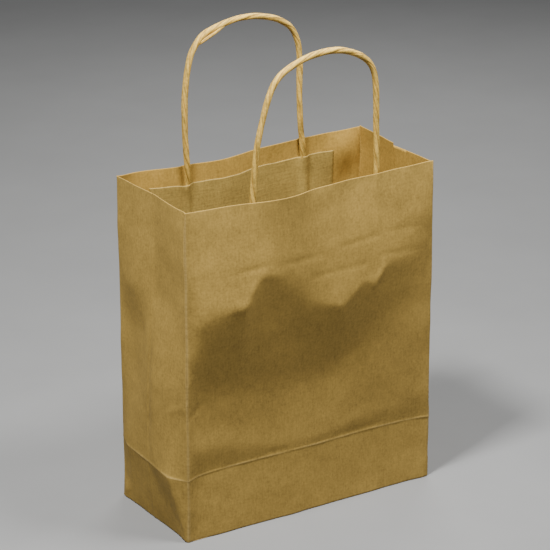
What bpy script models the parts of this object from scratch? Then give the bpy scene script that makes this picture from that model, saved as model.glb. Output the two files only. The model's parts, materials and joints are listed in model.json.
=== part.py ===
"""Kraft paper carrier gift bag with two twisted paper cord handles, standing open.

Metres, +Z up. The origin is the centre of the face the bag rests on, and the front panel faces -Y.
Each wall is a flat plate whose origin lies on the crease it folds about. The bag collapses by its
gussets: both gusset halves fold inwards and the front panel travels straight back, so the six
creases stay parallel to Z. The base flaps stay under the walls. Each handle hinges above the rim.
"""

import math

import bmesh
import bpy
from mathutils import Vector

# Driving dimensions of the bag
BAG_WIDTH = 0.184
BAG_DEPTH = 0.084
BAG_HEIGHT = 0.220
WALL = 0.0006
LAYER = 0.0004
COVER_PLY = 0.0005
GAP = 0.0003

# Handle patches and twisted cords
PATCH_WIDTH = 0.140
PATCH_BOTTOM = 0.170
PATCH_TOP = 0.208
CORD_RADIUS = 0.0021
LEG_X = 0.0465
CORD_END_Z = 0.174
SWING_Z = 0.223
LEG_CUT_Z = 0.2198
ARCH_CUT_Z = 0.221

# Base and seam
FLAP_OVERLAP = 0.009
GUSSET_FLAP_REACH = 0.037
GUSSET_FLAP_TIP = 0.010
LAP_WIDTH = 0.012
LAP_FROM_CREASE = 0.0015
LAP_TOP_DROP = 0.002

# Places worked out from the dimensions above
HALF_WIDTH = BAG_WIDTH / 2
HALF_DEPTH = BAG_DEPTH / 2
INNER_X = HALF_WIDTH - WALL
INNER_Y = HALF_DEPTH - WALL
PITCH = LAYER + GAP
WALL_BOTTOM = 3 * PITCH
CORD_OFFSET = 2 * GAP + LAYER + CORD_RADIUS
CORD_Y = INNER_Y - CORD_OFFSET

# The free arch of each handle as (x, z), from the left leg over the top to the right leg
BACK_ARCH = [
    (-0.0465, ARCH_CUT_Z), (-0.0470, 0.242), (-0.0472, 0.264), (-0.0444, 0.2855),
    (-0.0390, 0.2975), (-0.0310, 0.3045), (-0.0175, 0.3084), (-0.0020, 0.3093),
    (0.0120, 0.3078), (0.0250, 0.3040), (0.0355, 0.2970), (0.0412, 0.2860),
    (0.0430, 0.2720), (0.0430, 0.2530), (0.0443, 0.2360), (0.0465, ARCH_CUT_Z),
]
FRONT_ARCH = [
    (-0.0465, ARCH_CUT_Z), (-0.0442, 0.238), (-0.0412, 0.256), (-0.0372, 0.2715),
    (-0.0320, 0.2865), (-0.0250, 0.2954), (-0.0130, 0.3012), (0.0010, 0.3044),
    (0.0160, 0.3046), (0.0290, 0.3010), (0.0400, 0.2944), (0.0458, 0.2855),
    (0.0474, 0.2720), (0.0480, 0.2520), (0.0480, 0.2360), (0.0465, ARCH_CUT_Z),
]
STEPS_PER_SPAN = 3
RIDGE_STEPS = 8

# Linear base colour and roughness of each paper
KRAFT = ((0.43, 0.28, 0.095), 0.85)
KRAFT_FLAP = ((0.38, 0.25, 0.085), 0.88)
PATCH_PAPER = ((0.30, 0.22, 0.10), 0.90)
CORD_PAPER = ((0.62, 0.43, 0.17), 0.75)


def clear_scene():
    for obj in list(bpy.data.objects):
        bpy.data.objects.remove(obj, do_unlink=True)


def finish_object(obj, pivot, paper):
    """Links the object with its origin at the pivot and gives it a material of its own."""
    obj.location = pivot
    bpy.context.scene.collection.objects.link(obj)
    colour, roughness = paper
    material = bpy.data.materials.new(obj.name)
    material.use_nodes = True
    shader = material.node_tree.nodes["Principled BSDF"]
    shader.inputs["Base Color"].default_value = (*colour, 1.0)
    shader.inputs["Roughness"].default_value = roughness
    shader.inputs["Metallic"].default_value = 0.0
    obj.data.materials.append(material)
    return obj


def attach(child, parent):
    """Parents one object to another without moving it."""
    child.parent = parent
    child.location = child.location - parent.matrix_basis.translation
    return child


def prism(name, outline, depth, pivot, paper):
    """A closed solid: the outline's corners (x, y, z), extruded along the depth vector."""
    mesh = bpy.data.meshes.new(name)
    work = bmesh.new()
    corners = [work.verts.new(Vector(corner) - Vector(pivot)) for corner in outline]
    face = work.faces.new(corners)
    extruded = bmesh.ops.extrude_face_region(work, geom=[face])
    moved = [item for item in extruded["geom"] if isinstance(item, bmesh.types.BMVert)]
    bmesh.ops.translate(work, verts=moved, vec=Vector(depth))
    bmesh.ops.recalc_face_normals(work, faces=work.faces)
    work.to_mesh(mesh)
    work.free()
    return finish_object(bpy.data.objects.new(name, mesh), pivot, paper)


def plate(name, x_range, y_range, z_range, pivot, paper):
    """A flat rectangular sheet of card or paper."""
    (x0, x1), (y0, y1), (z0, z1) = x_range, y_range, z_range
    outline = [(x0, y0, z0), (x1, y0, z0), (x1, y1, z0), (x0, y1, z0)]
    return prism(name, outline, (0, 0, z1 - z0), pivot, paper)


def smooth_route(points):
    """Catmull-Rom points through the route's own points, so that the bends stay soft."""
    route = []
    for index in range(len(points) - 1):
        before = points[max(index - 1, 0)]
        start = points[index]
        end = points[index + 1]
        after = points[min(index + 2, len(points) - 1)]
        for step in range(STEPS_PER_SPAN):
            t = step / STEPS_PER_SPAN
            route.append(tuple(
                0.5 * (2 * b + (c - a) * t + (2 * a - 5 * b + 4 * c - d) * t * t
                       + (3 * b - a - 3 * c + d) * t ** 3)
                for a, b, c, d in zip(before, start, end, after)
            ))
    route.append(points[-1])
    return route


def cord(name, points, pivot):
    """A round cord along a poly spline, with flat closed ends."""
    curve = bpy.data.curves.new(name, "CURVE")
    curve.dimensions = "3D"
    curve.bevel_depth = CORD_RADIUS
    curve.bevel_resolution = 2
    curve.use_fill_caps = True
    spline = curve.splines.new("POLY")
    spline.points.add(len(points) - 1)
    for point, place in zip(spline.points, points):
        point.co = (*(Vector(place) - Vector(pivot)), 1.0)
    return finish_object(bpy.data.objects.new(name, curve), pivot, CORD_PAPER)


def build_walls():
    """Front and back panels and the four gusset halves, with the folding ones on their creases."""
    height = (WALL_BOTTOM, BAG_HEIGHT)
    width = (-HALF_WIDTH, HALF_WIDTH)
    back_panel = plate("back_panel", width, (INNER_Y, HALF_DEPTH), height, (0, HALF_DEPTH, 0), KRAFT)
    corner = (-INNER_X, -INNER_Y, 0)
    front_panel = plate("front_panel", width, (-HALF_DEPTH, -INNER_Y), height, corner, KRAFT)
    for side, word in ((-1, "left"), (1, "right")):
        across = tuple(sorted((side * INNER_X, side * HALF_WIDTH)))
        along = (GAP / 2, INNER_Y - GAP)
        rear_pivot = (side * INNER_X, INNER_Y, 0)
        plate(f"{word}_gusset_rear_half", across, along, height, rear_pivot, KRAFT)
        along = (-INNER_Y + GAP, -GAP / 2)
        front_pivot = (side * HALF_WIDTH, 0, 0)
        plate(f"{word}_gusset_front_half", across, along, height, front_pivot, KRAFT)
    return front_panel, back_panel


def build_side_seam():
    """The glued lap where the sheet's two ends meet, inside the right gusset next to its crease."""
    outer = INNER_X - GAP
    along = (-LAP_FROM_CREASE - LAP_WIDTH, -LAP_FROM_CREASE)
    height = (WALL_BOTTOM, BAG_HEIGHT - LAP_TOP_DROP)
    lap = plate("side_seam_lap", (outer - LAYER, outer), along, height, (outer, 0, 0), KRAFT_FLAP)
    attach(lap, bpy.data.objects["right_gusset_front_half"])


def build_base(back_panel):
    """Three folded layers: the outer flap on the floor, the inner flap over it, the gusset flaps on top."""
    width = (-HALF_WIDTH, HALF_WIDTH)
    along = (-HALF_DEPTH, FLAP_OVERLAP)
    outer = plate("bottom_outer_flap", width, along, (0, LAYER), (0, 0, 0), KRAFT_FLAP)
    step = FLAP_OVERLAP + GAP
    profile = [
        (HALF_DEPTH, 0), (HALF_DEPTH, LAYER), (step + LAYER, LAYER), (step + LAYER, PITCH + LAYER),
        (-FLAP_OVERLAP, PITCH + LAYER), (-FLAP_OVERLAP, PITCH), (step, PITCH), (step, 0),
    ]
    outline = [(-HALF_WIDTH, y, z) for y, z in profile]
    inner = prism("bottom_inner_flap", outline, (BAG_WIDTH, 0, 0), (0, 0, 0), KRAFT_FLAP)
    flaps = [outer, inner]
    for side, word in ((-1, "left"), (1, "right")):
        edge = side * HALF_WIDTH
        tip = side * (HALF_WIDTH - GUSSET_FLAP_REACH)
        outline = [
            (edge, -HALF_DEPTH, 2 * PITCH), (edge, HALF_DEPTH, 2 * PITCH),
            (tip, GUSSET_FLAP_TIP / 2, 2 * PITCH), (tip, -GUSSET_FLAP_TIP / 2, 2 * PITCH),
        ]
        name = f"bottom_gusset_flap_{word}"
        flaps.append(prism(name, outline, (0, 0, LAYER), (edge, 0, 0), KRAFT_FLAP))
    for flap in flaps:
        attach(flap, back_panel)


def ridge_height(from_leg):
    """How far the cover ply's wall side stands off the wall, at a distance from a leg's centre."""
    radius = CORD_RADIUS + GAP
    bend = radius * math.sin(math.pi / 4)
    if from_leg <= bend:
        return CORD_OFFSET + math.sqrt(radius ** 2 - from_leg ** 2)
    return max(CORD_OFFSET + bend - (from_leg - bend), PITCH + GAP)


def build_patch(side, word, panel):
    """Two glued plies with the cord's legs between them: the cover ply rises over each leg."""
    half = PATCH_WIDTH / 2
    wall_y = side * INNER_Y
    under = tuple(sorted((wall_y - side * GAP, wall_y - side * (GAP + LAYER))))
    pivot = (0, wall_y, PATCH_TOP)
    height = (PATCH_BOTTOM, PATCH_TOP)
    under_ply = plate(f"{word}_patch_under_ply", (-half, half), under, height, pivot, PATCH_PAPER)

    skirt = ridge_foot()
    near_leg = [LEG_X + skirt * step / RIDGE_STEPS for step in range(-RIDGE_STEPS, RIDGE_STEPS + 1)]
    across = [-half] + [-x for x in reversed(near_leg)] + near_leg + [half]
    wall_side = [(x, ridge_height(abs(abs(x) - LEG_X))) for x in across]
    room_side = [(x, height_off + COVER_PLY) for x, height_off in reversed(wall_side)]
    outline = [(x, wall_y - side * off, PATCH_BOTTOM) for x, off in wall_side + room_side]
    depth = (0, 0, PATCH_TOP - PATCH_BOTTOM)
    cover_ply = prism(f"{word}_patch_cover_ply", outline, depth, pivot, PATCH_PAPER)
    attach(under_ply, panel)
    attach(cover_ply, panel)


def ridge_foot():
    """Distance from a leg's centre at which the ridge in the cover ply meets the flat part."""
    bend = (CORD_RADIUS + GAP) * math.sin(math.pi / 4)
    return CORD_OFFSET + 2 * bend - (PITCH + GAP)


def build_handle(side, word, arch, panel):
    """One twisted cord: two glued legs that stay with the panel, and the arch that swings."""
    y = side * CORD_Y
    for leg, leg_word in ((-1, "left"), (1, "right")):
        x = leg * LEG_X
        ends = [(x, y, CORD_END_Z), (x, y, LEG_CUT_Z)]
        attach(cord(f"{word}_cord_{leg_word}_leg", ends, (x, y, SWING_Z)), panel)
    route = [(x, y, z) for x, z in smooth_route(arch)]
    attach(cord(f"{word}_handle_arch", route, (0, y, SWING_Z)), panel)


def main():
    clear_scene()
    front_panel, back_panel = build_walls()
    build_side_seam()
    build_base(back_panel)
    faces = ((-1, "front", FRONT_ARCH, front_panel), (1, "back", BACK_ARCH, back_panel))
    for side, word, arch, panel in faces:
        build_patch(side, word, panel)
        build_handle(side, word, arch, panel)


main()
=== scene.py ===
"""Looks of a kraft paper carrier gift bag with twisted cord handles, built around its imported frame.

Places are in metres. The shape fields (how far a wall stands out from its plane) are in millimetres.
Every wall is a thin sheet that is lofted through a few lines across it, so the mouth bows, the middle
buckles and the base creases show. The sheets meet on the crease axes, where the bag folds flat.
"""

import json
import math

import bpy
import numpy as np
from mathutils import Matrix, Vector


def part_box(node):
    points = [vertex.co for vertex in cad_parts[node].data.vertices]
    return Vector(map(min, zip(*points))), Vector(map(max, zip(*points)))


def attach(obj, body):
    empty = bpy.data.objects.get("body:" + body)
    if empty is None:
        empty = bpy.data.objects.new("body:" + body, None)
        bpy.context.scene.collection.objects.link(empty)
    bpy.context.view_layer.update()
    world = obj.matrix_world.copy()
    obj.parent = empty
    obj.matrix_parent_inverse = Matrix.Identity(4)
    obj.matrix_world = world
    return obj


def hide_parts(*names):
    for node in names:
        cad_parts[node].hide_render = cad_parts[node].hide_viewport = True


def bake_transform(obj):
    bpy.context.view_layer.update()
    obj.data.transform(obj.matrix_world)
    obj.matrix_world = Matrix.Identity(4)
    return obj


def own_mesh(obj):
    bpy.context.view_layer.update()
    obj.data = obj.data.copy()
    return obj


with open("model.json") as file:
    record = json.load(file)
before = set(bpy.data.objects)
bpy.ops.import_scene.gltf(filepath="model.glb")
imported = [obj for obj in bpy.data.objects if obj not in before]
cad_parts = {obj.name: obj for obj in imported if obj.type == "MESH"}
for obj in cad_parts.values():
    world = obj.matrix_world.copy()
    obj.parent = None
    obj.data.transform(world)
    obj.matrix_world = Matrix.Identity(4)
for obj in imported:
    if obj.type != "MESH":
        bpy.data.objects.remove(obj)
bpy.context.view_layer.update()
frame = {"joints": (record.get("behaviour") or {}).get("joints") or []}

MM = 0.001

# Places read from the frame
JOINTS = {joint["name"]: Vector(joint["pos_m"]) for joint in frame["joints"]}
CORNER_X = -JOINTS["gusset_fold"].x
CORNER_Y = JOINTS["gusset_fold"].y
MID_X = -JOINTS["left_mid_crease"].x
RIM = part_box("front_panel")[1].z
FRONT_FLAP_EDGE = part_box("bottom_outer_flap")[1].y
REAR_FLAP_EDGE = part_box("bottom_inner_flap")[0].y
SEAM_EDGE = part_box("side_seam_lap")[0].y
PATCH_LOW, PATCH_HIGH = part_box("back_patch_cover_ply")
LEG_X = (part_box("back_cord_right_leg")[0].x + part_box("back_cord_right_leg")[1].x) / 2
CORD_END_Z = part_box("back_cord_right_leg")[0].z

# Paper and folds
PAPER = 0.0003
FOLD_RADIUS = 0.0014
BOTTOM_RADIUS = 0.0008
CREASE_LIFT_REACH = 0.03
GRID = 1.5 * MM

# Shape fields and the base crease's height, in millimetres
FIELD_HALF_WIDTH = 92
FIELD_HEIGHT = 224
BASE_CREASE = 42.4
CREASE_LIFT = 1.7

# Seam, base flaps and patches
SEAM_STEP = 0.0009
LAP_PAPER = 0.00012
LAP_OFFSET = 0.00022
LAP_FROM_CREASE = 0.0004
LAP_BOTTOM = 0.003
FLAP_PAPER = 0.00016
FLAP_OVERLAP = 0.004
FLAP_MARGIN = 0.0002
OUTER_FLAP_Z = 0.00012
INNER_FLAP_Z = 0.00036
GUSSET_FLAP_Z = 0.0006
PATCH_PAPER = 0.00018
PATCH_EDGE_OFFSET = 0.00030
PATCH_RISE = 0.00025
PATCH_EDGE = 0.005
RIDGE_HALF_WIDTH = 0.0033
RIDGE_SOFTNESS = 0.0008
PATCH_ROW_STEP = 0.0012

# Camera
CAMERA_AZIMUTH = math.radians(-32.25)
CAMERA_ELEVATION = math.radians(21.288)
CAMERA_ROLL = math.radians(-0.15)
CAMERA_PLACE = (-0.82096, -1.29916, 0.74661)
CAMERA_LENS = 169.06

# Twisted cord
CORD_RADIUS = 0.00195
CORD_STRANDS = 3
CORD_GROOVE = 0.00020
CORD_PITCH = 0.046
CORD_SIDES = 42
CORD_STEP = 0.0009
LOOSE_RADIUS = 0.0010
LOOSE_STRANDS = 2
LOOSE_PITCH = 0.03
BURIED_PRESS = 0.5
BURIED_FULL = 0.1950
BURIED_FREE = 0.2230

FLOOR_DROP = 0.0002


# ---------------------------------------------------------------- shape fields, in millimetres

def soften(field, reach):
    """Rounds a field over that many millimetres. Its two sides stay at nothing, on the corner folds."""
    reach_cells = int(math.ceil(3 * reach))
    kernel = np.exp(-0.5 * (np.arange(-reach_cells, reach_cells + 1) / reach) ** 2)
    kernel /= kernel.sum()
    sides = ((reach_cells, reach_cells), (0, 0))
    ends = ((0, 0), (reach_cells, reach_cells))
    padded = np.pad(field, sides, mode="reflect", reflect_type="odd")
    padded = np.apply_along_axis(np.convolve, 0, padded, kernel, mode="valid")
    padded = np.pad(padded, ends, mode="edge")
    return np.apply_along_axis(np.convolve, 1, padded, kernel, mode="valid")


class Field:
    """How far a wall stands out from its plane, on a 1 mm grid of (across, up)."""

    def __init__(self, half_width):
        self.half = half_width
        self.across = np.arange(-half_width, half_width + 1)
        self.up = np.arange(0, FIELD_HEIGHT + 1)
        self.out = np.zeros((len(self.across), len(self.up)))

    def loft(self, lines, sharp=(), soft_reach=6.0, sharp_reach=1.6):
        """Straight between lines that run across the wall, each a list of (across, up, out)."""
        heights = [np.interp(self.across, *zip(*[(a, z) for a, z, _ in line])) for line in lines]
        outs = [np.interp(self.across, *zip(*[(a, out) for a, _, out in line])) for line in lines]
        for index in range(len(self.across)):
            column_heights = [height[index] for height in heights]
            column_outs = [out[index] for out in outs]
            self.out[index] = np.interp(self.up, column_heights, column_outs)
        rounded = soften(self.out, soft_reach)
        crisp = soften(self.out, sharp_reach)
        share = np.zeros_like(self.out)
        for at, size in sharp:
            share = np.maximum(share, self.spot(at, (size, size)))
        self.out = rounded * (1 - share) + crisp * share

    def spot(self, at, size, turn=0.0):
        """A smooth round hill of height 1, which may be longer one way and turned."""
        a, z = np.meshgrid(self.across - at[0], self.up - at[1], indexing="ij")
        c, s = math.cos(math.radians(turn)), math.sin(math.radians(turn))
        along, over = a * c + z * s, z * c - a * s
        return np.exp(-0.5 * ((along / size[0]) ** 2 + (over / size[1]) ** 2))

    def dent(self, at, size, depth, turn=0.0):
        """A smooth hill, or with a negative depth a hollow."""
        self.out += depth * self.spot(at, size, turn)

    def wrinkle(self, start, end, height, width=1.3):
        """A narrow fold between two points, which fades at its ends."""
        a, z = np.meshgrid(self.across, self.up, indexing="ij")
        run = np.array(end, float) - np.array(start, float)
        length = np.linalg.norm(run)
        run /= length
        along = (a - start[0]) * run[0] + (z - start[1]) * run[1]
        over = (z - start[1]) * run[0] - (a - start[0]) * run[1]
        fade = np.clip(along / length, 0, 1) * np.clip(1 - along / length, 0, 1) * 4
        self.out += height * np.sqrt(fade) * np.exp(-((over / width) ** 2))

    def crumple(self, seed, reach, height):
        """Small uneven hills and hollows, the same on each run."""
        bumps = soften(np.random.default_rng(seed).normal(size=self.out.shape), reach)
        self.out += height * bumps / bumps.std()

    def pin_sides(self, reach=6.0):
        """Brings the field to nothing on both corner folds."""
        self.out *= np.clip((self.half - np.abs(self.across)) / reach, 0, 1)[:, None] ** 0.5
        return self

    def at(self, across, up):
        """The field at points in metres, in metres."""
        a = np.clip(across / MM + self.half, 0, 2 * self.half - 0.001)
        z = np.clip(up / MM, 0, FIELD_HEIGHT - 0.001)
        a0, z0 = a.astype(int), z.astype(int)
        fa, fz = a - a0, z - z0
        low = self.out[a0, z0] * (1 - fa) + self.out[a0 + 1, z0] * fa
        high = self.out[a0, z0 + 1] * (1 - fa) + self.out[a0 + 1, z0 + 1] * fa
        return (low * (1 - fz) + high * fz) * MM


def front_crease(across):
    """The base crease's height on the front in millimetres, a little higher than at the corners."""
    return BASE_CREASE + CREASE_LIFT * (1 - np.abs(across / FIELD_HALF_WIDTH) ** 5)


def front_field():
    """The front panel: the mouth bows out, and the panel buckles below it into a wide hollow."""
    rim = [(-92, 224, 0), (-85, 224, 0.7), (-61, 224, 2.2), (-49, 224, 4.2), (-43, 224, 6.4),
           (-36, 224, 8.2), (-26, 224, 9.4), (-16, 224, 8.8), (-9, 224, 6.0), (-3, 224, 3.8),
           (3, 224, 3.0), (14, 224, 1.8), (24, 224, -0.2), (34, 224, -0.6), (43, 224, 1.2),
           (50, 224, 0.6), (62, 224, -0.7), (85, 224, -1.0), (92, 224, 0)]
    shoulder = [(-92, 196, 0), (-84, 196, 1.8), (-61, 196, 4.6), (-45, 196, 6.8), (-34, 196, 8.8),
                (-20, 196, 8.6), (-6, 192, 6.4), (10, 190, 4.8), (26, 190, 3.6), (45, 190, 3.2),
                (62, 190, 2.4), (80, 190, 1.8), (92, 190, 0)]
    brow = [(-92, 146, 0), (-90, 146, 2.8), (-86, 148, 5.6), (-80, 150, 7.2), (-73, 152, 8.2),
            (-62, 153, 9.2), (-54, 153, 10.0), (-49, 163, 9.9), (-45, 170, 10.0), (-40, 173, 10.2),
            (-33, 171, 9.8), (-25, 165, 9.3), (-12, 155, 8.6), (1, 146, 8.0), (17, 139, 7.8),
            (23, 142, 7.4), (29, 147, 6.8), (35, 152, 6.4), (42, 149, 6.0), (51, 158, 5.6),
            (64, 161, 4.6), (78, 161, 2.9), (86, 161, 1.6), (92, 161, 0)]
    hollow = [(-92, 106, 0), (-90, 105, -1.0), (-86, 102, -2.1), (-76, 98, -2.6), (-60, 96, -2.8),
              (-30, 91, -3.4), (0, 90, -3.8), (16, 94, -3.8), (26, 98, -3.2), (34, 102, -2.2),
              (42, 112, -0.6), (54, 122, 0.4), (76, 126, 0.0), (92, 120, 0)]
    band = [(-92, 70, 0), (-90, 70, -1.4), (-84, 70, -2.5), (-70, 70, -2.8), (-42, 67, -2.8),
            (-10, 64, -2.4), (30, 62, -2.0), (60, 62, -1.0), (80, 62, -0.5), (92, 62, 0)]
    ledge = [(-92, 61, 0), (-90, 61, -0.7), (-84, 61, -1.4), (-70, 61, -1.5), (-52, 58, -1.5),
             (-38, 55, -1.6), (-20, 51, -1.4), (0, 50, -1.3), (20, 52, -1.1), (40, 56, -0.9),
             (66, 57, -0.6), (80, 55, -0.5), (92, 55, 0)]
    crease = [(x, front_crease(x), out) for x, out in (
        (-92, 0), (-90, -1.5), (-84, -3.0), (-60, -3.2), (-38, -2.6), (-20, -1.9), (0, -1.6), (20, -1.8),
        (40, -2.0), (70, -1.8), (82, -1.2), (92, 0))]
    floor = [(-92, 0, 0), (92, 0, 0)]
    field = Field(FIELD_HALF_WIDTH)
    sharp = [((-55, 154), 9), ((-48, 165), 6), ((-38, 173), 7), ((17, 139), 9), ((28, 146), 6),
             ((35, 151), 6), ((44, 151), 8), ((33, 102), 6)]
    sharp += [((x, front_crease(x)), 8) for x in range(-80, 90, 10)]
    field.loft([floor, crease, ledge, band, hollow, brow, shoulder, rim], sharp, 4.5, 0.9)
    for leg in (-LEG_X / MM, LEG_X / MM):
        field.wrinkle((leg, 172), (leg, 232), 0.22, 2.4)
    field.wrinkle((-34, front_crease(-34) + 3), (-16, front_crease(-16) + 2), -0.35, 1.1)
    field.wrinkle((18, front_crease(18) + 2), (56, front_crease(56) + 3), -0.30, 1.1)
    field.dent((-57, 156), (5, 2.5), 0.5)
    field.wrinkle((-64, 176), (-36, 179), -0.30, 1.6)
    field.wrinkle((-34, 177), (8, 176), -0.22, 2.0)
    field.wrinkle((14, 178), (50, 180), -0.25, 1.6)
    field.wrinkle((52, 181), (80, 179), -0.2, 1.6)
    field.wrinkle((-8, 163), (40, 163), -0.22, 1.8)
    field.wrinkle((44, 167), (80, 164), -0.22, 1.8)
    field.wrinkle((43, 145), (53, 161), 0.55, 1.8)
    field.wrinkle((-92, 83), (-78, 93), -0.45, 2.2)
    field.dent((-20, 22), (16, 12), 0.35)
    field.dent((52, 20), (14, 13), -0.4)
    field.dent((-60, 18), (20, 12), -0.3)
    field.dent((30, 76), (22, 12), 0.4)
    field.crumple(3, 4.0, 0.09)
    field.crumple(4, 11.0, 0.25)
    return field.pin_sides()


def back_field():
    """The back panel: the mouth is pushed in at the left handle."""
    rim = [(-92, 224, 0), (-81, 224, 0.4), (-69, 224, -2.6), (-57, 224, -6.2), (-47, 224, -7.2),
           (-41, 224, -5.6), (-35, 224, -6.8), (-29, 224, -8.6), (-22, 224, -9.5), (-14, 224, -9.5),
           (-6, 224, -8.2), (3, 224, -4.6), (13, 224, -1.8), (21, 224, -1.2), (37, 224, 0.4),
           (48, 224, 0.9), (80, 224, 1.0), (92, 224, 0)]
    upper = [(-92, 160, 0), (-81, 160, -2.2), (-60, 160, -7.0), (-40, 160, -9.2), (-20, 160, -11.0),
             (-4, 160, -9.0), (12, 160, -4.2), (30, 160, -1.6), (60, 160, -0.8), (80, 160, -0.5),
             (92, 160, 0)]
    lower = [(-92, 90, 0), (-50, 92, 0.8), (-16, 96, -1.0), (20, 90, 0.8), (60, 85, 1.8), (92, 85, 0)]
    crease = [(-92, 42, 0), (-82, 42, -1.6), (-30, 42, -2.6), (40, 42, -2.4), (82, 42, -1.6),
              (92, 42, 0)]
    floor = [(-92, 0, 0), (92, 0, 0)]
    field = Field(FIELD_HALF_WIDTH)
    sharp = [((x, 42), 9) for x in (-75, -45, -15, 15, 45, 75)] + [((-41, 215), 7)]
    field.loft([floor, crease, lower, upper, rim], sharp)
    for leg, slot in ((-LEG_X / MM, -47.3), (LEG_X / MM, 44.0)):
        field.wrinkle((leg, 172), (leg, 210), -0.2, 2.4)
        field.wrinkle((slot, 206), (slot, 238), 1.3, 0.9)
    field.dent((79, 208), (8, 9), -2.6)
    field.dent((83, 184), (7, 10), 2.0)
    field.crumple(11, 5.0, 0.10)
    field.crumple(12, 14.0, 0.45)
    return field.pin_sides()


def gusset_field(side):
    """A gusset, seen with the front on its negative side: pinched in at the mouth, bulging above the base."""
    bulge = 1.0 if side < 0 else 0.45
    rim = [(-42, 224, 0), (-20, 224, -1.4), (-1, 224, -3.4), (18, 224, -1.5), (42, 224, 0)]
    lines = [
        [(-42, 42, 0), (-36, 42, 3.2), (-29, 42, 6.9), (-16, 42, 6.6), (-6, 42, 5.8), (0, 42, 5.2),
         (14, 42, 5.2), (26, 42, 5.0), (36, 42, 2.7), (42, 42, 0)],
        [(-42, 72, 0), (-35, 72, 1.8), (-24, 72, 4.6), (-9, 72, 6.0), (-2, 72, 4.1), (2, 72, 4.3),
         (8, 72, 4.2), (20, 72, 3.0), (32, 72, 1.6), (42, 72, 0)],
        [(-42, 100, 0), (-34, 100, 2.0), (-20, 100, 4.9), (-8, 100, 5.4), (-2, 100, 3.3), (2, 100, 3.0),
         (10, 100, 0.9), (24, 100, -1.4), (36, 100, -0.8), (42, 100, 0)],
        [(-42, 126, 0), (-34, 126, 0.8), (-20, 126, 2.2), (-8, 126, 2.6), (-2, 126, 1.4), (3, 126, 1.8),
         (12, 126, -0.7), (26, 126, -1.6), (36, 126, -0.9), (42, 126, 0)],
        [(-42, 154, 0), (-22, 154, -1.8), (-6, 154, -1.8), (-1, 154, -0.6), (4, 154, 0.7), (20, 154, 1.9),
         (34, 154, 1.1), (42, 154, 0)],
        [(-42, 190, 0), (-20, 190, -1.3), (-1, 190, -2.6), (3, 190, -2.0), (18, 190, -0.2), (42, 190, 0)],
        rim,
    ]
    field = Field(42)
    for index, across in enumerate(field.across):
        up, out = [], []
        for line in lines:
            a, z, o = zip(*line)
            up.append(np.interp(across, a, z))
            out.append(np.interp(across, a, o) * (bulge if line is not rim else 1.0))
        field.out[index] = np.interp(field.up, up, out)
    # Below the base crease two slanting folds run from the crease down to the front bottom corner
    for row, height in enumerate(field.up):
        share = height / BASE_CREASE
        if share >= 1:
            continue
        knots = [-42, -42 + 12.5 * share, -42 + 42 * share, 14, 26, 42]
        outs = [0, 7.8 * share, 5.2 * share, 5.2 * share, 5.0 * share, 0]
        field.out[:, row] = np.interp(field.across, knots, outs) * bulge
    rounded = soften(field.out, 3.0)
    crisp = soften(field.out, 0.7)
    share = np.clip((BASE_CREASE + 6 - field.up) / 6, 0, 1)[None, :]
    share = np.maximum(share, np.exp(-((field.across[:, None] + 2) / 7.0) ** 2))
    field.out = rounded * (1 - share) + crisp * share
    field.dent((35, 7), (2.5, 4), 1.2, 30)
    field.wrinkle((-24, 84), (-40, 92), 0.4, 1.8)
    field.wrinkle((-14, 42), (-3, 66), 0.35, 2.0)
    field.crumple(21 + side, 4.0, 0.09)
    field.crumple(31 + side, 9.0, 0.22)
    return field.pin_sides(4.0)


FRONT = front_field()
BACK = back_field()
LEFT = gusset_field(-1)
RIGHT = gusset_field(1)


# ---------------------------------------------------------------- sheet meshes

def fold_rise(distance):
    """How far the rounded fold stands over its crease axis, at a distance along the wall."""
    reach = FOLD_RADIUS * math.sin(math.pi / 4)
    inside = np.clip(reach - distance, 0, None)
    return np.sqrt(FOLD_RADIUS ** 2 - inside ** 2) - FOLD_RADIUS * math.cos(math.pi / 4)


def bottom_fold(height):
    """How far the wall draws in where it turns under the bag."""
    under = np.clip(BOTTOM_RADIUS - height, 0, None)
    return BOTTOM_RADIUS - np.sqrt(BOTTOM_RADIUS ** 2 - np.minimum(under, BOTTOM_RADIUS) ** 2)


def crease_bead(over_crease, along):
    """The pressed crease round the base stands out as a thin uneven bead."""
    strength = 0.65 + 0.35 * np.sin(along / MM * 0.09 + 0.5) * np.sin(along / MM * 0.23)
    return 0.00032 * strength * np.exp(-(over_crease / 0.0007) ** 2)


def spread(low, high, ends):
    """Even steps of about one grid width, with closer ones at both ends."""
    middle = np.linspace(low + ends[-1], high - ends[-1], max(2, round((high - low) / GRID)))
    return np.concatenate([low + np.array(ends[:-1]), middle, high - np.array(ends[:-1])[::-1]])


FINE_ENDS = [0.0, 0.0002, 0.0005, 0.0009, 0.0015]
FLOOR_ROWS = [0.00002, 0.0002, 0.0006, 0.001, 0.0016]


def wall_rows(top):
    """Heights of the grid's rows: close together at the floor, at the base crease and at the rim."""
    crease = BASE_CREASE * MM
    near = np.array([-0.0016, -0.001, -0.0006, -0.0003, 0, 0.0003, 0.0006, 0.001, 0.0016])
    plain = np.arange(0.0024, top - 0.001, GRID)
    plain = plain[np.abs(plain - crease) > 0.0022]
    rows = np.concatenate([FLOOR_ROWS, plain, crease + near, [top - 0.0005, top]])
    return np.sort(rows)


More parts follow.
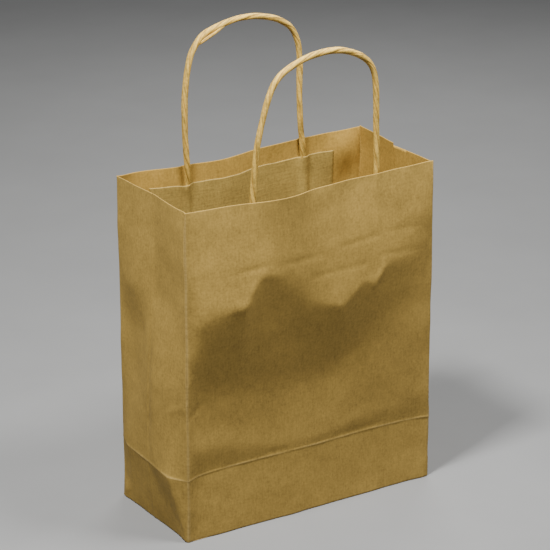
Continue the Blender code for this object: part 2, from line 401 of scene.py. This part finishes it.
def grid_object(name, points, paper_uv, wear_and_painted_light, thickness=PAPER, outward=None):
    """A thin sheet over a grid of points [column, row], with its own uv in metres and its values of wear and
    painted highlight.
    """
    columns, rows = points.shape[:2]
    index = np.arange(columns * rows).reshape(columns, rows)
    faces = np.stack([index[:-1, :-1], index[1:, :-1], index[1:, 1:], index[:-1, 1:]], -1).reshape(-1, 4)
    if outward is not None:
        middle = points[columns // 2, rows // 2]
        next_column = points[columns // 2 + 1, rows // 2] - middle
        next_row = points[columns // 2, rows // 2 + 1] - middle
        if np.cross(next_column, next_row) @ np.array(outward) < 0:
            faces = faces[:, ::-1]
    mesh = bpy.data.meshes.new(name)
    mesh.from_pydata(points.reshape(-1, 3).tolist(), [], faces.tolist())
    mesh.shade_smooth()
    layer = mesh.uv_layers.new(name="paper")
    corners = np.zeros(len(mesh.loops), int)
    mesh.loops.foreach_get("vertex_index", corners)
    layer.data.foreach_set("uv", paper_uv.reshape(-1, 2)[corners].astype(np.float32).ravel())
    mesh.attributes.new("wear_and_painted_light", "FLOAT", "POINT").data.foreach_set("value", wear_and_painted_light.astype(np.float32).ravel())
    sheet = bpy.data.objects.new(name, mesh)
    bpy.context.scene.collection.objects.link(sheet)
    solid = sheet.modifiers.new("paper_thickness", "SOLIDIFY")
    solid.thickness = thickness
    solid.offset = 0.0
    return sheet


def wall_scuff_and_highlight(from_side, height, top, over_crease, along):
    """Pale lines along the folds, the base crease, the bottom edge and the cut rim: scuffed fibres and a
    painted highlight where light catches these edges.
    """
    patchy = 0.55 + 0.45 * np.sin(along / MM * 0.17 + 1.0) * np.sin(along / MM * 0.053 + 2.0)
    corner = 0.35 * np.exp(-(from_side / 0.0006) ** 2)
    crease = 0.5 * patchy * np.exp(-(over_crease / 0.0004) ** 2)
    rim = 0.12 * np.exp(-((top - height) / 0.0003) ** 2)
    floor = 0.3 * np.exp(-(height / 0.0009) ** 2)
    return np.clip(np.maximum.reduce([corner, crease, rim, floor]), 0, 1)


def panel(name, side, field):
    """The front or back panel, between two corner folds."""
    across = spread(-CORNER_X, CORNER_X, FINE_ENDS)
    rows = wall_rows(RIM)
    x, z = np.meshgrid(across, rows, indexing="ij")
    lift = (front_crease(x / MM) - BASE_CREASE) * MM if side < 0 else 0 * x
    near_crease = np.clip(1 - np.abs(z - BASE_CREASE * MM) / CREASE_LIFT_REACH, 0, 1)
    z = z + lift * near_crease
    over_crease = z - BASE_CREASE * MM - lift
    from_side = CORNER_X - np.abs(x)
    out = field.at(x, z) + fold_rise(from_side) + crease_bead(over_crease, x) - bottom_fold(z)
    out = np.where(from_side < 1e-9, 0, out)
    points = np.stack([x, side * (CORNER_Y + out), z], -1)
    uv = np.stack([x, z], -1)
    wear_and_painted_light = wall_scuff_and_highlight(from_side, z, RIM, over_crease, x)
    return grid_object(name, points, uv, wear_and_painted_light, outward=(0, side, 0))


def gusset_half(name, side, end, field, top):
    """Half a gusset, from a corner fold to the middle crease. The end is -1 at the front, 1 at the rear."""
    along = spread(0, CORNER_Y, FINE_ENDS)
    rows = wall_rows(top)
    distance, z = np.meshgrid(along, rows, indexing="ij")
    y = end * (CORNER_Y - distance)
    plane = CORNER_X + (MID_X - CORNER_X) * distance / CORNER_Y
    from_middle = CORNER_Y - distance
    bead = 0.00020 * np.exp(-(from_middle / 0.0012) ** 2)
    over_crease = z - BASE_CREASE * MM
    out = field.at(y, z) + fold_rise(distance) + crease_bead(over_crease, y) - bottom_fold(z) + bead
    out = np.where(distance < 1e-9, 0, out)
    points = np.stack([side * (plane + out), y, z], -1)
    uv = np.stack([side * (CORNER_X + end * distance), z], -1)
    wear_and_painted_light = wall_scuff_and_highlight(distance, z, top, over_crease, y)
    return grid_object(name, points, uv, wear_and_painted_light, outward=(side, 0, 0))


# ---------------------------------------------------------------- materials

def new_material(name):
    """A node material, with its nodes and links."""
    material = bpy.data.materials.new(name)
    material.use_nodes = True
    return material, material.node_tree.nodes, material.node_tree.links


def noise(nodes, links, coordinates, scale, stretch=(1, 1, 1), detail=4.0, rough=0.6, place=(0, 0, 0)):
    """A noise texture, with features about 1/scale metres across, stretched along u, v or w."""
    mapping = nodes.new("ShaderNodeMapping")
    mapping.inputs["Scale"].default_value = stretch
    mapping.inputs["Location"].default_value = place
    texture = nodes.new("ShaderNodeTexNoise")
    texture.inputs["Scale"].default_value = scale
    texture.inputs["Detail"].default_value = detail
    texture.inputs["Roughness"].default_value = rough
    links.new(coordinates, mapping.inputs["Vector"])
    links.new(mapping.outputs["Vector"], texture.inputs["Vector"])
    return texture.outputs["Fac"]


def weigh(nodes, links, parts):
    """Adds textures round their middle value: 0.5 + the sum of weight * (texture - 0.5)."""
    total = None
    for texture, weight in parts:
        centred = nodes.new("ShaderNodeMath")
        centred.operation = "MULTIPLY_ADD"
        centred.inputs[1].default_value = weight
        centred.inputs[2].default_value = -0.5 * weight
        links.new(texture, centred.inputs[0])
        if total is None:
            start = nodes.new("ShaderNodeMath")
            start.operation = "ADD"
            start.inputs[1].default_value = 0.5
            links.new(centred.outputs[0], start.inputs[0])
            total = start.outputs[0]
        else:
            added = nodes.new("ShaderNodeMath")
            added.operation = "ADD"
            links.new(total, added.inputs[0])
            links.new(centred.outputs[0], added.inputs[1])
            total = added.outputs[0]
    return total


def ramp(nodes, links, value, stops):
    """Turns a value into a colour, through (position, colour) stops."""
    colours = nodes.new("ShaderNodeValToRGB")
    elements = colours.color_ramp.elements
    while len(elements) < len(stops):
        elements.new(0.5)
    for element, (position, colour) in zip(elements, stops):
        element.position = position
        element.color = (*colour, 1.0)
    links.new(value, colours.inputs["Fac"])
    return colours.outputs["Color"]


def shade(colour, factor):
    """A colour made lighter or darker."""
    return tuple(channel * factor for channel in colour)


def paper_material(name, colour, laid=0.0, mottle=1.0, scuff_and_highlight_share=1.0, scuff_and_highlight_colour=(0.62, 0.45, 0.19)):
    """Kraft paper: mottled pulp, upright fibre streaks, faint specks, and pale scuffs with a painted
    highlight where it is folded.
    """
    material, nodes, links = new_material(name)
    shader = nodes["Principled BSDF"]
    uv = nodes.new("ShaderNodeUVMap")
    uv.uv_map = "paper"
    flat = uv.outputs["UV"]
    pulp = noise(nodes, links, flat, 620, (1, 1, 1), 5, 0.62)
    fibre = noise(nodes, links, flat, 900, (1, 0.16, 1), 3, 0.6, (3, 1, 0))
    cloud = noise(nodes, links, flat, 42, (1, 0.7, 1), 3, 0.55, (7, 2, 0))
    blotch = noise(nodes, links, flat, 230, (1, 0.8, 1), 4, 0.6, (2, 9, 0))
    parts = [(pulp, 1.1 * mottle), (fibre, 0.6 * mottle), (blotch, 0.55 * mottle), (cloud, 0.55)]
    if laid:
        lines = noise(nodes, links, flat, 1000, (0.05, 1, 1), 2, 0.5, (5, 5, 0))
        parts.append((lines, laid))
    value = weigh(nodes, links, parts)
    tones = [(0.12, shade(colour, 0.70)), (0.5, colour), (0.88, shade(colour, 1.26))]
    base = ramp(nodes, links, value, tones)

    speck = noise(nodes, links, flat, 1500, (1, 0.45, 1), 1, 0.5, (11, 4, 0))
    speck_mask = ramp(nodes, links, speck, [(0.70, (0, 0, 0)), (0.78, (1, 1, 1))])
    specks = nodes.new("ShaderNodeMixRGB")
    specks.blend_type = "MULTIPLY"
    specks.inputs["Color2"].default_value = (0.72, 0.66, 0.58, 1)
    links.new(speck_mask, specks.inputs["Fac"])
    links.new(base, specks.inputs["Color1"])

    # Pale colour mixed in along the folds, crease and rim: scuffed fibres and a painted highlight.
    wear_and_painted_light = nodes.new("ShaderNodeAttribute")
    wear_and_painted_light.attribute_name = "wear_and_painted_light"
    scuff_highlight_mask = nodes.new("ShaderNodeMath")
    scuff_highlight_mask.operation = "MULTIPLY"
    links.new(wear_and_painted_light.outputs["Fac"], scuff_highlight_mask.inputs[0])
    scuff_highlight_stops = [(0.25, (0.35 * scuff_and_highlight_share,) * 3), (0.6, (scuff_and_highlight_share,) * 3)]
    links.new(ramp(nodes, links, pulp, scuff_highlight_stops), scuff_highlight_mask.inputs[1])
    scuffed_and_highlit = nodes.new("ShaderNodeMixRGB")
    scuffed_and_highlit.inputs["Color2"].default_value = (*scuff_and_highlight_colour, 1)
    links.new(scuff_highlight_mask.outputs[0], scuffed_and_highlit.inputs["Fac"])
    links.new(specks.outputs["Color"], scuffed_and_highlit.inputs["Color1"])
    links.new(scuffed_and_highlit.outputs["Color"], shader.inputs["Base Color"])

    rough = ramp(nodes, links, value, [(0.2, (0.70,) * 3), (0.8, (0.86,) * 3)])
    links.new(rough, shader.inputs["Roughness"])
    shader.inputs["Specular IOR Level"].default_value = 0.12
    bump = nodes.new("ShaderNodeBump")
    bump.inputs["Strength"].default_value = 0.45
    bump.inputs["Distance"].default_value = 0.00012
    links.new(value, bump.inputs["Height"])
    links.new(bump.outputs["Normal"], shader.inputs["Normal"])
    return material


def cord_material(name, colour):
    """Twisted paper: creased along its strands, with painted shade darkening the grooves."""
    material, nodes, links = new_material(name)
    shader = nodes["Principled BSDF"]
    uv = nodes.new("ShaderNodeUVMap")
    uv.uv_map = "paper"
    flat = uv.outputs["UV"]
    strand = noise(nodes, links, flat, 700, (1, 0.10, 1), 4, 0.6)
    pulp = noise(nodes, links, flat, 500, (1, 1, 1), 4, 0.6, (4, 0, 0))
    value = weigh(nodes, links, [(strand, 1.7), (pulp, 0.7)])
    tones = [(0.26, shade(colour, 0.58)), (0.5, colour), (0.74, shade(colour, 1.34))]
    base = ramp(nodes, links, value, tones)
    # Painted shade: the colour is darkened in the grooves between the strands.
    groove = nodes.new("ShaderNodeAttribute")
    groove.attribute_name = "wear_and_painted_light"
    painted_groove_shade = nodes.new("ShaderNodeMixRGB")
    painted_groove_shade.blend_type = "MULTIPLY"
    painted_groove_shade.inputs["Color2"].default_value = (0.66, 0.56, 0.42, 1)
    links.new(groove.outputs["Fac"], painted_groove_shade.inputs["Fac"])
    links.new(base, painted_groove_shade.inputs["Color1"])
    links.new(painted_groove_shade.outputs["Color"], shader.inputs["Base Color"])
    rough = ramp(nodes, links, value, [(0.2, (0.48,) * 3), (0.8, (0.70,) * 3)])
    links.new(rough, shader.inputs["Roughness"])
    shader.inputs["Specular IOR Level"].default_value = 0.2
    bump = nodes.new("ShaderNodeBump")
    bump.inputs["Strength"].default_value = 0.6
    bump.inputs["Distance"].default_value = 0.00015
    links.new(value, bump.inputs["Height"])
    links.new(bump.outputs["Normal"], shader.inputs["Normal"])
    return material


KRAFT = paper_material("kraft_wall", (0.375, 0.243, 0.060))
KRAFT_INSIDE = paper_material("kraft_inside", (0.365, 0.224, 0.046), scuff_and_highlight_share=0.25)
KRAFT_FLAP = paper_material("kraft_flap", (0.36, 0.235, 0.066))
PATCH = paper_material("patch_paper", (0.30, 0.205, 0.052), laid=0.7)
CORD = cord_material("cord_paper", (0.54, 0.348, 0.073))


def dress(piece, material, body=None, inside=None):
    """Gives a piece its material and its body. A sheet's inside may have its own."""
    piece.data.materials.append(material)
    if inside:
        piece.data.materials.append(inside)
        piece.modifiers["paper_thickness"].material_offset = 1
        piece.modifiers["paper_thickness"].material_offset_rim = 1
    if body:
        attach(piece, body)
    return piece


# ---------------------------------------------------------------- walls

LONG_WALLS = [("front", -1, FRONT), ("back", 1, BACK)]


def build_panels():
    """The front and back walls."""
    for word, side, field in LONG_WALLS:
        sheet = panel(f"{word}_paper", side, field)
        dress(sheet, KRAFT, f"{word}_wall", KRAFT_INSIDE)
        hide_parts("front_panel" if side < 0 else "back_panel")


def build_gussets():
    """Each gusset half is built over the plane through its two crease axes, and rides its own body."""
    for side, word, field in ((-1, "left", LEFT), (1, "right", RIGHT)):
        for end, end_word in ((1, "rear"), (-1, "front")):
            top = RIM if side < 0 else RIM + end * SEAM_STEP
            body = f"{word}_gusset_{end_word}"
            sheet = gusset_half(f"{word}_{end_word}_paper", side, end, field, top)
            dress(sheet, KRAFT, body, KRAFT_INSIDE)
            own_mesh(sheet)
            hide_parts(f"{body}_half")


def build_seam():
    """The glued lap inside the right gusset, just in front of its middle crease."""
    columns = np.linspace(-LAP_FROM_CREASE, SEAM_EDGE, 30)
    rows = np.linspace(LAP_BOTTOM, RIM - SEAM_STEP - 0.0001, 130)
    y, z = np.meshgrid(columns, rows, indexing="ij")
    plane = MID_X + (CORNER_X - MID_X) * -y / CORNER_Y
    x = plane + RIGHT.at(y, z) + fold_rise(CORNER_Y + y) - LAP_OFFSET
    points = np.stack([x, y, z], -1)
    lap = grid_object("seam_lap_paper", points, points[..., 1:], 0 * z, LAP_PAPER)
    dress(lap, KRAFT_INSIDE, "right_gusset_front")
    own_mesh(lap)
    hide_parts("side_seam_lap")


# ---------------------------------------------------------------- base

def between(first, second, share):
    """Points between two others, at that share of the way."""
    return np.array(first) * (1 - share)[..., None] + np.array(second) * share[..., None]


def base_flap(name, folded_edge, free_edge, height):
    """One layer of the folded base: a thin, slightly uneven sheet with worn edges."""
    steps = np.linspace(0, 1, 26)
    columns = np.linspace(0, 1, 60)
    u, v = np.meshgrid(columns, steps, indexing="ij")
    flat = between(between(*folded_edge, u), between(*free_edge, u), v)
    z = np.full(u.shape, height) + 0.00008 * np.sin(flat[..., 0] * 90) * np.sin(flat[..., 1] * 140)
    points = np.concatenate([flat, z[..., None]], -1)
    edge = np.minimum.reduce([u, 1 - u, v, 1 - v])
    sheet = grid_object(name, points, flat, np.exp(-(edge / 0.01) ** 2) * 0.7, FLAP_PAPER)
    return dress(sheet, KRAFT_FLAP, "back_wall")


def build_base():
    """An envelope base: two long flaps with slanted ends, over two pointed gusset flaps."""
    x = CORNER_X + FLAP_MARGIN
    y = CORNER_Y - FLAP_MARGIN
    free_x = x - y + FLAP_OVERLAP
    flaps = [
        ("base_outer_fold", ((-x, -y), (x, -y)), ((-free_x, FRONT_FLAP_EDGE), (free_x, FRONT_FLAP_EDGE)),
         OUTER_FLAP_Z, "bottom_outer_flap"),
        ("base_inner_fold", ((-x, y), (x, y)), ((-free_x, REAR_FLAP_EDGE), (free_x, REAR_FLAP_EDGE)),
         INNER_FLAP_Z, "bottom_inner_flap"),
    ]
    for side, word in ((-1, "left"), (1, "right")):
        low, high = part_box(f"bottom_gusset_flap_{word}")
        tip = side * min(abs(low.x), abs(high.x))
        half_tip = y - (x - abs(tip))
        folded_edge = ((side * x, -y), (side * x, y))
        free_edge = ((tip, -half_tip), (tip, half_tip))
        node = f"bottom_gusset_flap_{word}"
        flaps.append((f"base_{word}_fold", folded_edge, free_edge, GUSSET_FLAP_Z, node))
    for name, folded_edge, free_edge, height, node in flaps:
        sheet = base_flap(name, folded_edge, free_edge, height)
        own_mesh(sheet)
        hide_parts(node)


# ---------------------------------------------------------------- patches

def wall_place(field, x, z):
    """The distance of a long wall's sheet from the bag's middle plane."""
    return CORNER_Y + field.at(x, z) + fold_rise(CORNER_X - np.abs(x))


def build_patches():
    """A glued patch inside each long wall: the cover ply rises in two ridges over the cord's legs."""
    half = PATCH_HIGH.x
    for word, side, field in LONG_WALLS:
        fine = np.concatenate([leg * LEG_X + np.linspace(-0.0055, 0.0055, 27) for leg in (-1, 1)])
        plain = np.linspace(-half, half, 95)
        plain = plain[np.abs(np.abs(plain) - LEG_X) > 0.006]
        across = np.sort(np.concatenate([plain, fine]))
        rows = np.concatenate([np.arange(PATCH_LOW.z, PATCH_HIGH.z, PATCH_ROW_STEP), [PATCH_HIGH.z]])
        x, z = np.meshgrid(across, rows, indexing="ij")
        uneven = 0.0002 * np.sin(x * 160) + 0.0001 * np.sin(x * 430 + 1)
        z = z + uneven * (rows - PATCH_LOW.z)[None, :] / (PATCH_HIGH.z - PATCH_LOW.z)
        wall = wall_place(field, x, z)
        from_leg = np.abs(np.abs(x) - LEG_X)
        height = 2 * CORD_RADIUS * cord_press(z) - 0.0001
        ridge = height / (1 + np.exp((from_leg - RIDGE_HALF_WIDTH) / RIDGE_SOFTNESS))
        ridge /= 1 + np.exp(-(z - CORD_END_Z + 0.001) / 0.0012)
        from_edge = np.clip((half - np.abs(x)) / PATCH_EDGE, 0, 1)
        offset = PATCH_EDGE_OFFSET + PATCH_RISE * from_edge + ridge
        points = np.stack([x, side * (wall - offset), z], -1)
        # A pale line along the cover ply's cut top edge: painted highlight.
        from_top = z.max(axis=1, keepdims=True) - z
        wear_and_painted_light = 0.25 * np.exp(-(from_top / 0.0004) ** 2)
        sheet = grid_object(f"{word}_patch_paper", points, np.stack([x, z], -1), wear_and_painted_light, PATCH_PAPER)
        dress(sheet, PATCH, f"{word}_wall")
        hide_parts(f"{word}_patch_cover_ply", f"{word}_patch_under_ply")


# ---------------------------------------------------------------- handles

# Centre line of each cord in millimetres, from the end of the left leg over the arch to the right leg
BACK_CORD = [
    (-45.9, 32.0, 174), (-45.8, 31.9, 190), (-45.8, 31.9, 209.5), (-46.3, 31.9, 221.7), (-47.5, 31.8, 242),
    (-47.2, 31.8, 267), (-43.9, 32.1, 287.5), (-39.2, 32.5, 297.4), (-32.0, 33.1, 304), (-17.8, 34.4, 308.0),
    (-2.9, 35.7, 309.7), (12, 37, 308.0), (25.5, 38.2, 303.6), (36.0, 39.2, 296.3), (41.4, 39.7, 285.8),
    (43.0, 39.8, 272.5), (42.7, 39.7, 252.5), (43.7, 39.9, 230.2), (45, 40, 219.3), (45.8, 40.0, 208),
    (46.1, 40.0, 190), (46.3, 39.8, 174),
]
FRONT_CORD = [
    (-46.0, -42.5, 174), (-46.0, -43.6, 190), (-45.9, -44.6, 207), (-45.5, -44.8, 219), (-44.3, -44.7, 234.7),
    (-42.1, -44.6, 252.6), (-37.9, -44.4, 269.5), (-32.4, -44.2, 285.4), (-25.5, -43.9, 295.0),
    (-12.8, -43.2, 301.3), (0.3, -42.6, 304.3), (15.5, -41.8, 304.6), (29.1, -41.2, 300.9),
    (40.2, -40.6, 294.2), (45.9, -40.4, 284.8), (47.6, -40.3, 270.5), (47.9, -40.3, 252.7),
    (48.4, -40.3, 234), (48.4, -40.3, 218.5), (47.6, -40.2, 206), (46.8, -40.0, 190), (46.5, -39.6, 174),
]
CORDS = {"front": (FRONT_CORD, 5), "back": (BACK_CORD, 8)}


def smooth_route(points, step):
    """Even points along a Catmull-Rom curve through the route, in metres."""
    knots = np.array(points, float) * MM
    knots = np.concatenate([[2 * knots[0] - knots[1]], knots, [2 * knots[-1] - knots[-2]]])
    dense = []
    t = np.linspace(0, 1, 40, endpoint=False)[:, None]
    for a, b, c, d in zip(knots, knots[1:], knots[2:], knots[3:]):
        dense.append(0.5 * (2 * b + (c - a) * t + (2 * a - 5 * b + 4 * c - d) * t ** 2
                            + (3 * b - a - 3 * c + d) * t ** 3))
    dense = np.concatenate(dense + [knots[-2:-1]])
    run = np.concatenate([[0], np.cumsum(np.linalg.norm(np.diff(dense, axis=0), axis=1))])
    even = np.linspace(0, run[-1], round(run[-1] / step) + 1)
    return np.stack([np.interp(even, run, dense[:, axis]) for axis in range(3)], -1), even


def cord_press(height):
    """How round the cord is: pressed flat behind its patch, and free above it."""
    free = np.clip((height - BURIED_FULL) / (BURIED_FREE - BURIED_FULL), 0, 1)
    return BURIED_PRESS + (1 - BURIED_PRESS) * free ** 2 * (3 - 2 * free)


def seat_on_wall(line, wall_side, field):
    """Brings the pressed ends of a cord's centre line against the inside of their wall."""
    x, z = line[:, 0], line[:, 2]
    press = cord_press(z)
    free = np.clip((z - PATCH_HIGH.z) / (BURIED_FREE - PATCH_HIGH.z), 0, 1)
    held = 1 - free ** 2 * (3 - 2 * free)
    seat = wall_side * (wall_place(field, x, z) - PAPER - CORD_RADIUS * press)
    line[:, 1] = line[:, 1] * (1 - held) + seat * held


def twisted_cord(name, route, seed, wall_side=0, field=None, radius=CORD_RADIUS, strands=CORD_STRANDS,
                 pitch=CORD_PITCH):
    """A round cord of twisted strands: a lobed section that turns as it runs along the route."""
    line, run = smooth_route(route, CORD_STEP)
    if field:
        seat_on_wall(line, wall_side, field)
    tangent = np.gradient(line, axis=0)
    tangent /= np.linalg.norm(tangent, axis=1)[:, None]
    across = np.cross(tangent, (0, 1, 0))
    across /= np.linalg.norm(across, axis=1)[:, None]
    depth = np.cross(across, tangent)
    turn = np.linspace(0, 2 * math.pi, CORD_SIDES + 1)
    wander = soften_line(np.random.default_rng(seed).normal(size=len(run)), 14)
    twist = 2 * math.pi * run / pitch + 0.7 * wander
    angle, twist_here = turn[None, :], twist[:, None]
    phase = (angle - twist_here) * strands / 2
    groove = np.exp(-(np.sin(phase) / 0.30) ** 2)
    swell = 1 + 0.025 * soften_line(np.random.default_rng(seed + 1).normal(size=len(run)), 5)[:, None]
    reach = radius * swell - CORD_GROOVE * groove
    press = cord_press(line[:, 2])
    ring = line[:, None, :] + reach[..., None] * (
        across[:, None, :] * np.cos(angle)[..., None]
        + press[:, None, None] * depth[:, None, :] * np.sin(angle)[..., None])
    uv = np.stack([(angle - twist_here) * radius, np.repeat(run[:, None], len(turn), 1)], -1)
    # The groove shape also goes to the material, as painted shade in the grooves.
    return tube_object(name, ring, uv, groove)


def soften_line(values, reach):
    """Smooths a row of random values, and brings their spread back to 1."""
    kernel = np.exp(-0.5 * (np.arange(-3 * reach, 3 * reach + 1) / reach) ** 2)
    smooth = np.convolve(np.pad(values, 3 * reach, mode="edge"), kernel / kernel.sum(), mode="valid")
    return smooth / smooth.std()


def tube_object(name, rings, uv, wear_and_painted_light):
    """A closed tube through rings of points. Each ring's last point repeats its first, for the uv."""
    count, around = rings.shape[0], rings.shape[1] - 1
    vertices = rings[:, :-1].reshape(-1, 3).tolist()
    faces, corners_uv = [], []
    for row in range(count - 1):
        for col in range(around):
            beside = (col + 1) % around
            here, above = row * around, (row + 1) * around
            faces.append((here + col, here + beside, above + beside, above + col))
            corners_uv += [uv[row, col], uv[row, col + 1], uv[row + 1, col + 1], uv[row + 1, col]]
    for row, order in ((0, -1), (count - 1, 1)):
        faces.append(tuple(row * around + col for col in range(around))[::order])
        corners_uv += [uv[row, 0]] * around
    mesh = bpy.data.meshes.new(name)
    mesh.from_pydata(vertices, [], faces)
    mesh.shade_smooth()
    layer = mesh.uv_layers.new(name="paper")
    layer.data.foreach_set("uv", np.array(corners_uv, np.float32).ravel())
    # Groove values, for the painted shade along the cord's grooves.
    mesh.attributes.new("wear_and_painted_light", "FLOAT", "POINT").data.foreach_set(
        "value", wear_and_painted_light[:, :-1].astype(np.float32).ravel())
    tube = bpy.data.objects.new(name, mesh)
    bpy.context.scene.collection.objects.link(tube)
    return tube


def build_loose_strand():
    """One strand of the back cord has opened a little under its left shoulder."""
    route = [(-38.4, 32.5, 297.9), (-34.5, 31.7, 299.8), (-30.0, 31.4, 302.0), (-25.0, 31.9, 304.0),
             (-20.0, 33.0, 305.9), (-15.0, 34.5, 308.0)]
    strand = twisted_cord("back_loose_strand", route, 14, radius=LOOSE_RADIUS, strands=LOOSE_STRANDS,
                          pitch=LOOSE_PITCH)
    dress(strand, CORD, "back_handle")
    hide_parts("back_handle_arch")


def build_handles():
    """Each cord is one fixed piece, on no body: it lies along its wall below the rim and along its handle's
    arch above it, curving between the two.
    """
    for word, side, field in LONG_WALLS:
        route, seed = CORDS[word]
        cord = twisted_cord(f"{word}_handle_cord", route, seed, side, field)
        dress(cord, CORD)
        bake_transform(cord)
        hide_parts(f"{word}_handle_arch", f"{word}_cord_left_leg", f"{word}_cord_right_leg")


# ---------------------------------------------------------------- stage

def area_light(name, place, target, size, power):
    """A white softbox that faces its target."""
    light = bpy.data.lights.new(name, "AREA")
    light.shape = "RECTANGLE"
    light.size, light.size_y = size
    light.energy = power
    lamp = bpy.data.objects.new(name, light)
    lamp.location = place
    lamp.rotation_mode = "QUATERNION"
    lamp.rotation_quaternion = (Vector(place) - Vector(target)).to_track_quat("Z", "Y")
    bpy.context.scene.collection.objects.link(lamp)


def build_stage():
    """A plain pale floor, a dim sky and three softboxes."""
    material, nodes, links = new_material("studio_floor")
    shader = nodes["Principled BSDF"]
    coordinates = nodes.new("ShaderNodeTexCoord")
    grain = noise(nodes, links, coordinates.outputs["Object"], 9, detail=3)
    tint = ramp(nodes, links, grain, [(0.3, (0.245, 0.245, 0.241)), (0.7, (0.260, 0.260, 0.256))])
    links.new(tint, shader.inputs["Base Color"])
    shader.inputs["Roughness"].default_value = 0.9
    mesh = bpy.data.meshes.new("studio_floor")
    mesh.from_pydata([(-4, -4, 0), (4, -4, 0), (4, 6, 0), (-4, 6, 0)], [], [(0, 1, 2, 3)])
    floor = bpy.data.objects.new("studio_floor", mesh)
    bpy.context.scene.collection.objects.link(floor)
    mesh.materials.append(material)
    floor.location.z = -FLOOR_DROP

    world = bpy.data.worlds.new("studio_world")
    world.use_nodes = True
    background = world.node_tree.nodes["Background"]
    background.inputs["Color"].default_value = (0.93, 0.95, 1.0, 1)
    background.inputs["Strength"].default_value = 0.12
    bpy.context.scene.world = world

    area_light("front_softbox", (0.10, -0.19, 0.62), (0, -0.03, 0.12), (0.12, 0.12), 3.2)
    area_light("left_softbox", (-0.32, -0.14, 0.92), (0, 0, 0.12), (0.14, 0.14), 14)
    area_light("back_softbox", (0.55, 0.65, 0.80), (0, 0, 0.12), (0.5, 0.5), 6)


def build_camera():
    """The camera, turned to its azimuth, elevation and roll."""
    lens = bpy.data.cameras.new("view_camera")
    lens.lens = CAMERA_LENS
    lens.sensor_width = 36
    lens.clip_start, lens.clip_end = 0.05, 20
    camera = bpy.data.objects.new("view_camera", lens)
    back = Vector((math.sin(CAMERA_AZIMUTH) * math.cos(CAMERA_ELEVATION),
                   -math.cos(CAMERA_AZIMUTH) * math.cos(CAMERA_ELEVATION), math.sin(CAMERA_ELEVATION)))
    level = Vector((0, 0, 1)).cross(back).normalized()
    upright = back.cross(level)
    c, s = math.cos(CAMERA_ROLL), math.sin(CAMERA_ROLL)
    axes = Matrix((level * c + upright * s, upright * c - level * s, back)).transposed()
    camera.matrix_world = Matrix.Translation(CAMERA_PLACE) @ axes.to_4x4()
    bpy.context.scene.collection.objects.link(camera)
    bpy.context.scene.camera = camera


build_camera()
build_panels()
build_gussets()
build_seam()
build_base()
build_patches()
build_handles()
build_loose_strand()
build_stage()
